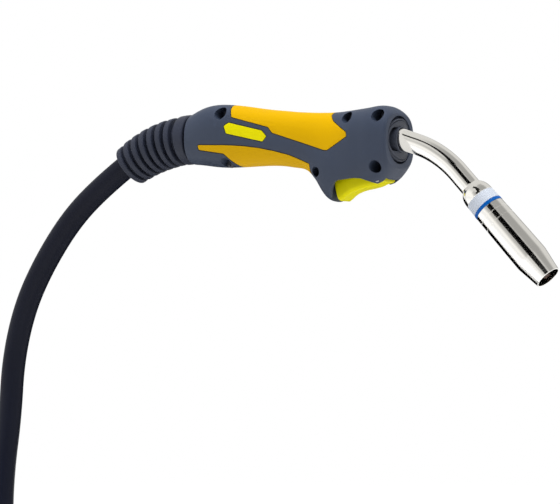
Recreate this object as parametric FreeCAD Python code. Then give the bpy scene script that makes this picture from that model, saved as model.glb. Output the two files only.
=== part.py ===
import FreeCAD, Part
import math
import os

# MIG welding torch, millimetres. +X runs forward along the handle to the nozzle end, +Z is up, and the
# XZ plane is the plane that the handle shells part in. The origin is the middle of the hand grip.

V = FreeCAD.Vector
X_AXIS = V(1, 0, 0)
Y_AXIS = V(0, 1, 0)
Z_AXIS = V(0, 0, 1)

# ---- driving dimensions -------------------------------------------------------------------------
# handle
WALL = 2.6                 # shell wall
HANDLE_REAR = -73.0        # rear face of the handle
HANDLE_FRONT = 90.5        # front face of the head
INLAY_DEPTH = 1.3          # how deep the soft grip inlays sit
INLAY_GAP = 0.5            # shadow line round each inlay
INLAY_CORNER = 0.8         # rounding of an inlay's corners
BOSS_R = 4.6               # screw bosses inside the shells
SCREW_R = 1.5              # shell screw shank
SCREW_HEAD_R = 2.7
SCREW_HEAD_Y = -4.5        # where the screw heads seat, measured from the parting plane

# stations of the handle: x, top, bottom, half width, corner exponent
HANDLE_STATIONS = [
    (HANDLE_REAR, 19.6, -16.0, 17.0, 2.4),
    (-67.0, 22.3, -16.5, 18.4, 2.4),
    (-60.0, 24.7, -17.4, 19.4, 2.5),
    (-48.0, 25.9, -18.6, 20.0, 2.6),
    (-34.0, 24.7, -18.6, 19.4, 2.6),
    (-18.0, 22.3, -18.2, 18.3, 2.6),
    (-4.0, 20.5, -18.4, 17.6, 2.6),
    (8.0, 19.2, -19.8, 17.3, 2.6),
    (17.0, 18.4, -21.2, 17.4, 2.6),
    (23.5, 18.0, -24.2, 17.6, 2.6),
    (29.0, 17.7, -29.8, 18.0, 2.6),
    (33.5, 17.6, -36.4, 18.5, 2.6),
    (37.5, 17.5, -42.0, 19.0, 2.6),
    (42.0, 17.5, -44.4, 19.6, 2.6),
    (47.0, 17.7, -44.6, 20.1, 2.6),
    (55.0, 18.3, -42.4, 21.0, 2.7),
    (64.0, 19.2, -38.2, 21.8, 2.8),
    (73.0, 20.3, -34.9, 22.2, 2.8),
    (81.5, 20.8, -32.8, 22.3, 2.8),
    (86.5, 18.9, -28.7, 22.1, 2.8),
    (HANDLE_FRONT, 14.8, -22.4, 21.2, 2.8),
]
FRONT_ROUND = 2.0          # rounding of the head's front edge
REAR_ROUND = 1.0           # rounding of the edge at the cable end

# where the six shell screws go: x, z, radius of the countersunk recess
SHELL_SCREWS = [
    (-43.0, 18.8, 4.4),
    (-40.5, -16.5, 4.0),
    (34.0, -24.0, 3.5),
    (57.9, 12.8, 4.0),
    (82.8, 13.3, 4.3),
    (81.9, -21.6, 4.2),
]

# trigger
TRIGGER_PIVOT = V(79.5, 0, -30.4)
PIVOT_PIN_R = 1.5
RUNNING_CLEARANCE = 0.05
TRIGGER_HALF_WIDTH = 8.8
TRIGGER_SLOT_HALF = 9.5
TRIGGER_EDGE_ROUND = 3.6   # rounding along the finger side
TRIGGER_SLOT = (42.8, 74.0, 85.2)       # rear wall, step down behind the front screw, front wall
TRIGGER_SLOT_TOP = (-19.0, -26.2)       # its ceiling behind and in front of the step
PLUNGER_X = 66.0           # the switch plunger stands above this point of the trigger
PLUNGER_R = 1.3
PLUNGER_TIP_Z = -20.2
SWITCH_BOX = V(20.0, 6.4, 10.0)
SWITCH_CORNER = V(51.0, -3.2, -17.9)
SPRING_X = 53.5
SWITCH_TERMINALS = ((-1, 56.0), (1, 68.5))

# neck: centre line in the XZ plane
AXIS_Z = 2.2               # height of the straight stretch in the handle
NECK_R = 7.2
NECK_BORE_R = 4.2
NECK_BEND_R = 75.0
NECK_START = V(46.0, 0, AXIS_Z)
NECK_LOW_BEND = V(78.7, 0, AXIS_Z)
NECK_HIGH_BEND = V(122.2, 0, -12.3)
NOZZLE_ORIGIN = V(158.0, 0, -50.7)      # centre of the blue ring, the front end's own origin
NOZZLE_AXIS = (NOZZLE_ORIGIN - NECK_HIGH_BEND).normalize()
NECK_END_S = -1.2          # neck end face, measured along the nozzle axis from the blue ring
NECK_BLOCK = (24.0, 55.0)  # brass block that holds the neck's root
NECK_BLOCK_R = 9.0

# nozzle end, all along the nozzle axis from the blue ring
SLEEVE_S = -9.3            # where the pale insulating sleeve starts
RING_S = -1.4              # where the blue ring starts
NOZZLE_START = 1.0
TAPER_S = 46.4
NOZZLE_END = 64.0
NOZZLE_R = 10.85           # at the ring
NOZZLE_BELLY_R = 11.5      # where the taper starts
MOUTH_R = 9.0
SEAT_BORE_R = 8.2           # bore that slides over the retaining ring
MOUTH_BORE_R = 8.3
MOUTH_BORE_LENGTH = 6.0
TIP_END = 57.5
WIRE_BORE_R = 0.6          # contact tip for 1.0 mm wire with its usual clearance

# cable support boot: an arc in the XZ plane that starts in the handle's end and turns down
BOOT_ARC_R = 104.0
BOOT_TURN = math.radians(34.2)
BOOT_START = V(-70.0, 0, AXIS_Z)
BOOT_CORE_R = 11.6
BOOT_CUFF = (4.6, 12.4)    # cuff against the handle, along the arc
BOOT_CUFF_R = 17.7
BOOT_RIBS = [17.3, 17.3, 17.1, 16.8, 16.4, 16.0, 15.3]
BOOT_FIRST_RIB = 18.3
BOOT_RIB_PITCH = 6.92
BOOT_RIB_WIDTH = 4.0

# cable
CABLE_R = 8.5
CABLE_LENGTH = 3000.0      # from the boot to the connector
FLOOR_Z = -355.0
COIL_CENTRE = V(-10.0, 8.0, 0)
COIL_OUTER_R = 103.5       # centre line of the outer turns
COIL_INNER_R = 86.5
COIL_TURNS = 4
TIE_SLACK = 0.8
TIE_THICKNESS = 1.4
LOW_LAYER_Z = FLOOR_Z + CABLE_R
HIGH_LAYER_Z = LOW_LAYER_Z + 2 * CABLE_R
CABLE_BEND = V(-77.0, 0, AXIS_Z)        # the cable bends in the boot from here, close to its upper side
CABLE_BEND_R = 92.7
CABLE_TURN = math.radians(33.5)
CABLE_EXIT = V(CABLE_BEND.x - CABLE_BEND_R * math.sin(CABLE_TURN), 0,
               CABLE_BEND.z - CABLE_BEND_R * (1 - math.cos(CABLE_TURN)))
COIL_JOIN = V(COIL_CENTRE.x, COIL_CENTRE.y - COIL_OUTER_R, LOW_LAYER_Z)
CABLE_ROUTE = [
    CABLE_EXIT,
    V(-149.9, 0, -27.5),
    V(-179, 0, -52),
    V(-204, 0, -85.3),
    V(-221.5, 0, -118),
    V(-231.4, -0.5, -157),
    V(-231.5, -4, -198),
    V(-231, -14, -240),
    V(-221, -30, -281),
    V(-193, -48, -316),
    V(-152, -66, -338.5),
    V(-106, -81, -346.5),
    V(-58, -91, -346.5),
    COIL_JOIN,
]

# connector at the far end, axis along +X
PLUG_START = 54.0
PLUG_Y = COIL_JOIN.y - 2 * CABLE_R    # beside the cable that comes in underneath
PLUG_Z = HIGH_LAYER_Z
PLUG_NUT_R = PLUG_Z - FLOOR_Z
PLUG_SHELL = (PLUG_START + 38.0, PLUG_START + 91.0)
PLUG_NUT = (PLUG_START + 92.0, PLUG_START + 126.0)
PLUG_FACE = PLUG_START + 117.0
NUT_LIP = 4.4              # the nut's inner lip, caught behind the body's flange
NUT_BORE_R = 20.6
PLUG_PIN_R = 5.0
PLUG_TIP = PLUG_START + 152.0
CONTROL_PIN_R = 1.8
CONTROL_PIN_OFFSET = 9.4
CONNECTOR_SCREW_X = (PLUG_SHELL[0] + 13.0, PLUG_SHELL[0] + 38.0)
CONNECTOR_SCREW_Z = PLUG_Z + 13.2
CONNECTOR_SCREW_R = 1.4
CONNECTOR_HEAD_Y = PLUG_Y - 8.0     # where the screw heads seat

os.makedirs("parts", exist_ok=True)


# ---- helpers ------------------------------------------------------------------------------------
def save(name, shape):
    """Write one node."""
    shape.exportStep("parts/" + name + ".step")


def rod(start, end, radius):
    return Part.makeCylinder(radius, (end - start).Length, start, end - start)


def x_rod(x0, x1, radius, y=0.0, z=0.0):
    return rod(V(x0, y, z), V(x1, y, z), radius)


def y_rod(x, z, y0, y1, radius):
    return rod(V(x, y0, z), V(x, y1, z), radius)


def box(x0, x1, y0, y1, z0, z1):
    return Part.makeBox(x1 - x0, y1 - y0, z1 - z0, V(x0, y0, z0))


def turned(profile, origin, axis):
    """Revolve a closed outline of (distance along the axis, radius) points about an axis."""
    wire = Part.makePolygon([V(s, r, 0) for s, r in profile + profile[:1]])
    solid = Part.Face(wire).revolve(V(0, 0, 0), X_AXIS, 360)
    solid.Placement = FreeCAD.Placement(origin, FreeCAD.Rotation(X_AXIS, axis))
    return solid


def on_nozzle(profile):
    return turned(profile, NOZZLE_ORIGIN, NOZZLE_AXIS)


def on_plug(profile):
    return turned(profile, V(0, PLUG_Y, PLUG_Z), X_AXIS)


def ring(s0, s1, r_in, r_out):
    return [(s0, r_in), (s1, r_in), (s1, r_out), (s0, r_out)]


def polyline_prism(points, y0, y1):
    """Extrude a side-view outline of (x, z) points from y0 to y1."""
    wire = Part.makePolygon([V(x, y0, z) for x, z in points + points[:1]])
    return Part.Face(wire).extrude(V(0, y1 - y0, 0))


def soft_prism(points, radius, y0, y1):
    """The same, with every corner of the outline rounded."""
    prism = polyline_prism(points, y0, y1)
    uprights = [e for e in prism.Edges if abs(e.tangentAt(e.FirstParameter).y) > 0.99]
    return prism.makeFillet(radius, uprights)


def offset_outline(points, distance):
    """Grow an anticlockwise or clockwise (x, z) outline by a distance on all sides."""
    wire = Part.makePolygon([V(x, z, 0) for x, z in points + points[:1]])
    grown = wire.makeOffset2D(distance, 2, False)
    return [(v.X, v.Y) for v in grown.OrderedVertexes]


def bend_radius(before, corner, after):
    """Radius of the arc that rounds a corner of the cable's route."""
    turn = (corner - before).getAngle(after - corner)
    shorter = min((corner - before).Length, (after - corner).Length)
    return 0.45 * shorter / math.tan(turn / 2)


def rounded_path(points, radii):
    """Straight runs joined by tangent arcs. One radius per inner point."""
    edges = []
    start = points[0]
    for i in range(1, len(points) - 1):
        into = (points[i] - points[i - 1]).normalize()
        out = (points[i + 1] - points[i]).normalize()
        turn = into.getAngle(out)
        back = radii[i - 1] * math.tan(turn / 2)
        arc_start = points[i] - into * back
        arc_end = points[i] + out * back
        inward = (out - into).normalize()
        middle = points[i] + inward * (radii[i - 1] / math.cos(turn / 2) - radii[i - 1])
        edges.append(Part.LineSegment(start, arc_start).toShape())
        edges.append(Part.Arc(arc_start, middle, arc_end).toShape())
        start = arc_end
    edges.append(Part.LineSegment(start, points[-1]).toShape())
    return Part.Wire(edges)


def swept(path, radius):
    start = path.Edges[0].valueAt(path.Edges[0].FirstParameter)
    along = path.Edges[0].tangentAt(path.Edges[0].FirstParameter)
    circle = Part.Wire([Part.makeCircle(radius, start, along)])
    return path.makePipeShell([circle], True, False)


# ---- handle -------------------------------------------------------------------------------------
def handle_section(x, top, bottom, half_width, exponent, inset):
    """A closed smooth section with full sides, between a circle and a rounded rectangle."""
    half_height = (top - bottom) / 2 - inset
    width = half_width - inset
    centre = (top + bottom) / 2
    points = []
    count = 24
    for i in range(count):
        angle = 2 * math.pi * i / count
        c = math.cos(angle)
        s = math.sin(angle)
        reach = (abs(c / width) ** exponent + abs(s / half_height) ** exponent) ** (-1 / exponent)
        points.append(V(x, reach * c, centre + reach * s))
    curve = Part.BSplineCurve()
    curve.interpolate(Points=points, PeriodicFlag=True)
    return Part.Wire([curve.toShape()])


def station_at(x):
    """Section sizes at any x, straight between stations and held beyond the end ones."""
    for low, high in zip(HANDLE_STATIONS, HANDLE_STATIONS[1:]):
        if x <= high[0]:
            break
    share = min(max((x - low[0]) / (high[0] - low[0]), 0.0), 1.0)
    return (x,) + tuple(a + share * (b - a) for a, b in zip(low[1:], high[1:]))


def handle_body(inset, rear, front):
    """The handle's outer form, pulled in by an inset on all sides."""
    between = [station for station in HANDLE_STATIONS if rear + 1.5 < station[0] < front - 1.5]
    stations = [station_at(rear)] + between + [station_at(front)]
    return Part.makeLoft([handle_section(*station, inset) for station in stations], True, False)


def handle_outer():
    body = handle_body(0.0, HANDLE_REAR, HANDLE_FRONT)
    front_edges = [e for e in body.Edges if abs(e.BoundBox.XMin - HANDLE_FRONT) < 0.01]
    body = body.makeFillet(FRONT_ROUND, front_edges)
    rear_edges = [e for e in body.Edges if abs(e.BoundBox.XMax - HANDLE_REAR) < 0.01]
    return body.makeFillet(REAR_ROUND, rear_edges)


TOP_INLAY = [
    (-39.2, 30.0), (-37.6, 25.0), (-33.3, 15.8), (-3.9, 8.0), (-0.3, 3.8),
    (41.2, -9.2), (44.3, -9.5), (60.2, -0.5), (59.4, 2.4), (46.8, 10.4), (43.2, 14.4), (40.8, 30.0),
]
LOWER_INLAY = [
    (-60.2, -3.2), (-59.6, -6.5), (-39.6, -9.6), (-32.3, -17.6), (-30.0, -30.0),
    (26.6, -30.0), (28.6, -18.6), (12.0, -11.9), (0.0, -8.8), (-12.5, -6.3), (-25.0, -4.7), (-37.4, -3.9),
]
BADGE = [(-38.4, 9.6), (-34.8, 11.8), (-9.0, 5.7), (-5.2, 1.6), (-8.2, -2.0), (-36.5, 4.4)]


def inlay(outline, skin):
    """A soft inlay, both sides at once: the skin of the handle inside an outline."""
    return soft_prism(outline, INLAY_CORNER, -40.0, 40.0).common(skin)


def inlay_seat(outline, core):
    """What is cut out of the shells to take an inlay, with its shadow line."""
    grown = offset_outline(outline, INLAY_GAP)
    return soft_prism(grown, INLAY_CORNER + INLAY_GAP, -41.0, 41.0).cut(core)


def half_space(side):
    return box(-100, 120, min(0, 40 * side), max(0, 40 * side), -60, 60)


def trigger_bay():
    """The part of the handle's outline that is cut away so that the trigger shows from the side."""
    outline = [
        (42.8, -60.0), (42.8, -42.0), (44.0, -38.8), (48.6, -31.6), (50.6, -30.2), (63.0, -28.9),
        (69.3, -29.3), (79.0, -33.2), (84.0, -34.4), (92.0, -60.0),
    ]
    return polyline_prism(outline, -40.0, 40.0)


def trigger_slot():
    """The slot between the shells that the trigger swings in."""
    rear, step, front = TRIGGER_SLOT
    back = box(rear, step, -TRIGGER_SLOT_HALF, TRIGGER_SLOT_HALF, -60, TRIGGER_SLOT_TOP[0])
    return back.fuse(box(step, front, -TRIGGER_SLOT_HALF, TRIGGER_SLOT_HALF, -60, TRIGGER_SLOT_TOP[1]))


def handle_blank(outer, inner, core):
    """Both halves of the handle in one, before the screw holes."""
    # end walls round the cable boot and the neck seat
    solid = outer.cut(inner)
    # bulkhead behind the trigger, and two cradles for the neck block and the cable
    solid = solid.fuse(outer.common(box(TRIGGER_SLOT[0] - 3.2, TRIGGER_SLOT[0], -40, 40, -60, -15)))
    solid = solid.fuse(outer.common(box(39.0, 41.6, -40, 40, -14.5, 60)))
    solid = solid.fuse(outer.common(box(-8.0, -5.4, -40, 40, -60, 60)))
    # bosses for the screws and the trigger pin
    bosses = [y_rod(x, z, -40, 40, max(BOSS_R, recess_r + 1.2)) for x, z, recess_r in SHELL_SCREWS]
    bosses.append(y_rod(TRIGGER_PIVOT.x, TRIGGER_PIVOT.z, -40, 40, 3.8))
    solid = solid.fuse([boss.common(outer) for boss in bosses])
    solid = solid.cut(trigger_slot())
    solid = solid.cut(trigger_bay())
    solid = solid.cut(neck_seat_blank(0.1))
    solid = solid.cut(x_rod(HANDLE_REAR - 1, HANDLE_REAR + 5, 13.3, 0, AXIS_Z))
    solid = solid.cut(x_rod(HANDLE_REAR + 4, 41.7, CABLE_R + 1.0, 0, AXIS_Z))
    solid = solid.cut(x_rod(38.0, NECK_BLOCK[1] + 0.5, NECK_BLOCK_R + 0.1, 0, AXIS_Z))
    solid = solid.cut(swept(neck_path(), NECK_R + 0.4))
    for side in (-1, 1):
        solid = solid.cut(box(-9.0, 47.0, 12.2 * side - 1.2, 12.2 * side + 1.2, -10.0, -4.0))
    solid = solid.cut(y_rod(TRIGGER_PIVOT.x, TRIGGER_PIVOT.z, -13.0, 13.0, PIVOT_PIN_R))
    for outline in (TOP_INLAY, LOWER_INLAY, BADGE):
        solid = solid.cut(inlay_seat(outline, core))
    return solid


def shell(side, blank):
    """One half of the handle. The screw heads sink into the left half, side -1."""
    solid = blank.common(half_space(side))
    for x, z, recess_r in SHELL_SCREWS:
        if side < 0:
            solid = solid.cut(y_rod(x, z, -41, SCREW_HEAD_Y, recess_r))
            solid = solid.cut(y_rod(x, z, -41, 1, SCREW_R + 0.2))
        else:
            solid = solid.cut(y_rod(x, z, -1, screw_depth(z), SCREW_R))
    return solid


def screw_depth(z):
    """How far a screw reaches into the right half: less near the top and bottom, where it is shallow."""
    return 7.0 if abs(z) > 14 else 10.0


def shell_screw(x, z):
    """Pan-head screw with a cross recess, head towards -Y."""
    shank = y_rod(x, z, SCREW_HEAD_Y, screw_depth(z) - 0.5, SCREW_R)
    head = y_rod(x, z, SCREW_HEAD_Y - 2.0, SCREW_HEAD_Y, SCREW_HEAD_R)
    screw = shank.fuse(head)
    for size in (V(3.2, 1.2, 0.8), V(0.8, 1.2, 3.2)):
        slot = Part.makeBox(size.x, size.y, size.z, V(x - size.x / 2, SCREW_HEAD_Y - 2.1, z - size.z / 2))
        screw = screw.cut(slot)
    return screw


SEAT_X = (85.8, 91.6)      # neck seat ring: inner and outer end
SEAT_CENTRE_Z = -2.8
SEAT_Y_R = 17.6
SEAT_Z_R = 16.4
FUNNEL_RIM = (13.8, 9.6)   # half width and half height at the face
FUNNEL_FLOOR_R = 8.4
FUNNEL_Z = -0.8


def oval(x, y_radius, z_radius, z=SEAT_CENTRE_Z):
    """An upright oval: an ellipse when it is wider than high, a circle when the radii are equal."""
    edge = Part.Ellipse(V(x, 0, z), y_radius, z_radius).toShape()
    edge.rotate(V(x, 0, z), Z_AXIS, 90)
    edge.rotate(V(x, 0, z), Y_AXIS, 90)
    return Part.Wire([edge])


def oval_rod(x0, x1, y_radius, z_radius):
    return Part.Face(oval(x0, y_radius, z_radius)).extrude(V(x1 - x0, 0, 0))


def neck_seat_blank(gap):
    return oval_rod(SEAT_X[0] - gap, SEAT_X[1] + 3, SEAT_Y_R + gap, SEAT_Z_R + gap)


def neck_seat_ring():
    """Rubber seat in the head's face: a rounded lip round a funnel that the neck comes out of."""
    ring_solid = oval_rod(SEAT_X[0], SEAT_X[1], SEAT_Y_R - 0.7, SEAT_Z_R - 0.7)
    front = [e for e in ring_solid.Edges if abs(e.BoundBox.XMin - SEAT_X[1]) < 0.01]
    ring_solid = ring_solid.makeFillet(1.3, front)
    rim = oval(SEAT_X[1] + 0.1, FUNNEL_RIM[0], FUNNEL_RIM[1], FUNNEL_Z)
    floor = oval(SEAT_X[0] + 1.0, FUNNEL_FLOOR_R, FUNNEL_FLOOR_R, FUNNEL_Z)
    funnel = Part.makeLoft([rim, floor], True, True)
    ring_solid = ring_solid.cut(funnel)
    return ring_solid.cut(swept(neck_path(), NECK_R + 0.05))


# ---- trigger and switch ---------------------------------------------------------------------------
TRIGGER_UNDERSIDE = [
    (43.0, -44.2), (48.4, -44.2), (50.4, -42.9), (52.6, -41.0), (55.6, -38.9), (60.0, -37.0),
    (64.6, -35.7), (69.3, -35.0), (74.0, -34.4), (79.0, -33.9), (83.0, -33.5),
]


def trigger_section(x, bottom):
    """Upright section across the trigger, with both lower corners rounded."""
    w = TRIGGER_HALF_WIDTH
    r = TRIGGER_EDGE_ROUND
    top = -25.0
    lean = r * (1 - math.sqrt(0.5))
    left = Part.Arc(V(x, -w, bottom + r), V(x, -w + lean, bottom + lean), V(x, -w + r, bottom))
    right = Part.Arc(V(x, w - r, bottom), V(x, w - lean, bottom + lean), V(x, w, bottom + r))
    corners = [V(x, w, bottom + r), V(x, w, top), V(x, -w, top), V(x, -w, bottom + r)]
    upper = [Part.LineSegment(start, end).toShape() for start, end in zip(corners, corners[1:])]
    lower = Part.LineSegment(V(x, -w + r, bottom), V(x, w - r, bottom)).toShape()
    return Part.Wire([left.toShape(), lower, right.toShape()] + upper)


def trigger():
    """Finger trigger: deep at the back, thin at the front, with a lug that reaches up to the switch."""
    body = Part.makeLoft([trigger_section(x, bottom) for x, bottom in TRIGGER_UNDERSIDE], True, False)
    outline = [
        (43.6, -24.0), (43.6, -31.0), (46.0, -42.0), (46.7, -43.4), (48.0, -44.0), (48.8, -50.0),
        (83.0, -50.0), (82.4, -31.8), (81.4, -27.6), (77.4, -27.6), (75.5, -30.5), (60.0, -24.0),
    ]
    body = body.common(polyline_prism(outline, -20.0, 20.0))
    hub = y_rod(TRIGGER_PIVOT.x, TRIGGER_PIVOT.z, -TRIGGER_HALF_WIDTH, TRIGGER_HALF_WIDTH, 2.9)
    body = body.fuse(hub)
    pocket = [(48.5, -33.6), (58.0, -33.6), (72.0, -31.4), (72.0, -20.0), (48.5, -20.0)]
    body = body.cut(polyline_prism(pocket, -7.0, 7.0))
    lug = box(PLUNGER_X - 2.2, PLUNGER_X + 2.2, -7.5, 7.5, -33.6, PLUNGER_TIP_Z - 0.3)
    spring_post = rod(V(SPRING_X, 0, -34.0), V(SPRING_X, 0, -30.5), 1.7)
    body = body.fuse([lug, spring_post])
    return body.cut(y_rod(TRIGGER_PIVOT.x, TRIGGER_PIVOT.z, -20, 20, PIVOT_PIN_R + RUNNING_CLEARANCE))


def trigger_spring():
    """Compression spring between the trigger and the switch body."""
    wire_r = 0.35
    low = -33.6 + wire_r
    high = SWITCH_CORNER.z - wire_r - 0.05
    turns = 6.0
    helix = Part.makeHelix((high - low) / turns, high - low, 2.3)
    profile = Part.Wire([Part.makeCircle(wire_r, V(2.3, 0, 0), Y_AXIS)])
    coil = Part.Wire(helix.Edges).makePipeShell([profile], True, True)
    coil.translate(V(SPRING_X, 0, low))
    return coil


def microswitch_body():
    body = Part.makeBox(SWITCH_BOX.x, SWITCH_BOX.y, SWITCH_BOX.z, SWITCH_CORNER)
    body = body.cut(rod(V(PLUNGER_X, 0, -20), V(PLUNGER_X, 0, -13.0), PLUNGER_R + RUNNING_CLEARANCE))
    for x in (55.0, 61.4):
        body = body.cut(y_rod(x, -14.6, -10, 10, 1.1))
    for side, x in SWITCH_TERMINALS:
        body = body.fuse(box(x - 0.25, x + 0.25, min(0, 5.2 * side), max(0, 5.2 * side), -8.4, -6.2))
    return body


def microswitch_plunger():
    stem = rod(V(PLUNGER_X, 0, PLUNGER_TIP_Z + 0.6), V(PLUNGER_X, 0, -15.2), PLUNGER_R)
    tip = Part.makeSphere(PLUNGER_R, V(PLUNGER_X, 0, PLUNGER_TIP_Z + PLUNGER_R))
    return stem.cut(box(60, 70, -5, 5, -25, PLUNGER_TIP_Z + PLUNGER_R)).fuse(tip)


def control_wires():
    """Two thin wires from the switch terminals back beside the cable to the boot."""
    wires = []
    for side, x in SWITCH_TERMINALS:
        path = rounded_path(
            [V(x - 0.25, 4.2 * side, -7.3), V(x - 6.0, 7.5 * side, -9.8), V(43.0, 12.2 * side, -8.5),
             V(20.0, 12.3 * side, -7.0), V(-4.0, 12.3 * side, -6.0), V(-50.0, 12.0 * side, -4.0)],
            [2.2, 3.0, 12.0, 20.0])
        wires.append(swept(path, 0.9))
    return Part.makeCompound(wires)


# ---- neck -----------------------------------------------------------------------------------------
def nozzle_point(s):
    return NOZZLE_ORIGIN + NOZZLE_AXIS * s


def neck_path():
    points = [NECK_START, NECK_LOW_BEND, NECK_HIGH_BEND, nozzle_point(NECK_END_S)]
    return rounded_path(points, [NECK_BEND_R, NECK_BEND_R])


def swan_neck():
    """Bent outer tube with a rounded shoulder and a spigot for the front end."""
    tube = swept(neck_path(), NECK_R)
    shoulder = [(-20.0, 5.0), (-20.0, NECK_R), (-19.0, 7.5), (-17.7, 8.5), (-16.1, 9.4), (-14.3, 10.05),
                (-12.3, 10.45), (SLEEVE_S, 10.6), (SLEEVE_S, 5.0)]
    tube = tube.fuse(on_nozzle(shoulder))
    return tube.cut(swept(neck_path(), NECK_BORE_R))


def neck_liner_tube():
    tube = swept(neck_path(), NECK_BORE_R - 0.05)
    return tube.cut(swept(neck_path(), 2.6))


def wire_liner():
    liner = swept(neck_path(), 2.4)
    return liner.cut(swept(neck_path(), 0.9))


def insulating_sleeve():
    profile = [(SLEEVE_S, NECK_R), (SLEEVE_S, 10.5), (RING_S - 0.2, 10.85), (RING_S, 10.75), (RING_S, NECK_R)]
    return on_nozzle(profile)


def blue_ring():
    return on_nozzle(ring(RING_S, NOZZLE_START, NECK_R + 0.05, 11.0))


def tip_holder():
    """Brass holder that screws on the neck and carries the contact tip."""
    profile = [(NECK_END_S, 2.0), (38.0, 2.0), (38.0, 5.6), (24.0, 5.6), (24.0, 6.6), (6.0, 6.6),
               (6.0, 7.0), (1.2, 7.0), (1.2, 4.2), (NECK_END_S, 4.2)]
    return on_nozzle(profile)


def gas_diffuser():
    """White ceramic ring with gas holes round the tip holder."""
    diffuser = on_nozzle(ring(14.0, 24.0, 6.65, 7.9))
    for i in range(8):
        hole = rod(V(19, 6.0, 0), V(19, 9.0, 0), 0.9)
        hole.rotate(V(0, 0, 0), X_AXIS, 45.0 * i)
        hole.Placement = FreeCAD.Placement(
            NOZZLE_ORIGIN, FreeCAD.Rotation(X_AXIS, NOZZLE_AXIS)).multiply(hole.Placement)
        diffuser = diffuser.cut(hole)
    return diffuser


def contact_tip():
    """Copper tip: round body with a tapered end, drilled for the wire."""
    profile = [(34.0, WIRE_BORE_R), (TIP_END, WIRE_BORE_R), (TIP_END, 2.6), (TIP_END - 6.0, 4.0),
               (38.0, 4.0), (38.0, 2.0), (34.0, 2.0)]
    return on_nozzle(profile)


def nozzle_spring():
    """Round-wire retaining ring that grips the gas nozzle."""
    return Part.makeTorus(7.55, 0.6, nozzle_point(9.0), NOZZLE_AXIS)


def gas_nozzle():
    """Conical gas nozzle with two fine turned grooves near its seat."""
    outside = [
        (NOZZLE_START, SEAT_BORE_R), (NOZZLE_START, NOZZLE_R - 0.1), (1.2, NOZZLE_R),
        (6.35, 10.95), (6.45, 10.75), (6.75, 10.75), (6.85, 10.96),
        (12.65, 11.07), (12.75, 10.87), (13.05, 10.87), (13.15, 11.08),
        (30.0, 11.35), (TAPER_S - 3.0, NOZZLE_BELLY_R), (TAPER_S, 11.45), (TAPER_S + 3.0, 10.95),
        (NOZZLE_END - 0.3, MOUTH_R + 0.05), (NOZZLE_END, MOUTH_R - 0.2),
        (NOZZLE_END, MOUTH_BORE_R), (NOZZLE_END - MOUTH_BORE_LENGTH, MOUTH_BORE_R),
        (TAPER_S, 9.9), (16.0, 9.9), (14.0, SEAT_BORE_R),
    ]
    return on_nozzle(outside)


# ---- pieces on the cable side inside the handle -----------------------------------------------------
def neck_block():
    """Brass block that clamps the neck's root and takes the cable's crimp."""
    block = x_rod(NECK_BLOCK[0], NECK_BLOCK[1], NECK_BLOCK_R, 0, AXIS_Z)
    block = block.cut(x_rod(NECK_START.x, NECK_BLOCK[1] + 1, NECK_R, 0, AXIS_Z))
    return block.cut(x_rod(20.0, 34.0, 5.6, 0, AXIS_Z)).cut(x_rod(33.0, 47.0, 2.6, 0, AXIS_Z))


def hexagon_prism(x0, x1, across_flats, z):
    radius = across_flats / math.sqrt(3)
    points = []
    for i in range(7):
        angle = math.radians(60 * i)
        points.append(V(x0, radius * math.cos(angle), z + radius * math.sin(angle)))
    return Part.Face(Part.makePolygon(points)).extrude(V(x1 - x0, 0, 0))


def neck_lock_nut():
    nut = hexagon_prism(44.5, 50.5, 21.5, AXIS_Z)
    return nut.cut(x_rod(44.0, 51.0, NECK_BLOCK_R, 0, AXIS_Z))


def cable_crimp():
    sleeve = x_rod(2.0, 24.0, CABLE_R + 0.9, 0, AXIS_Z)
    sleeve = sleeve.cut(x_rod(1.0, 20.0, CABLE_R, 0, AXIS_Z))
    return sleeve.cut(x_rod(19.0, 25.0, 5.6, 0, AXIS_Z))


def cable_core():
    """Bared copper conductor that runs from the cable's end into the block."""
    core = x_rod(20.0, 33.0, 5.6, 0, AXIS_Z)
    return core.cut(x_rod(19.0, 34.0, 2.4, 0, AXIS_Z))


def boot_frame(angle):
    """Point on the boot's centre line, and the direction from there towards the cable."""
    point = V(BOOT_START.x - BOOT_ARC_R * math.sin(angle), 0,
              BOOT_START.z - BOOT_ARC_R * (1 - math.cos(angle)))
    return point, V(-math.cos(angle), 0, -math.sin(angle))


def cable_in_handle():
    straight = Part.LineSegment(V(20.0, 0, AXIS_Z), CABLE_BEND).toShape()
    half = CABLE_TURN / 2
    middle = CABLE_BEND + V(-CABLE_BEND_R * math.sin(half), 0, -CABLE_BEND_R * (1 - math.cos(half)))
    return swept(Part.Wire([straight, Part.Arc(CABLE_BEND, middle, CABLE_EXIT).toShape()]), CABLE_R)


def boot_disc(start, end, radius, rounding):
    """A round disc across the boot, between two distances along its arc."""
    centre, along = boot_frame((start + end) / 2 / BOOT_ARC_R)
    width = end - start
    disc = Part.makeCylinder(radius, width, centre - along * (width / 2), along)
    return disc.makeFillet(rounding, [e for e in disc.Edges if len(e.Vertexes) == 1])


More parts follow.
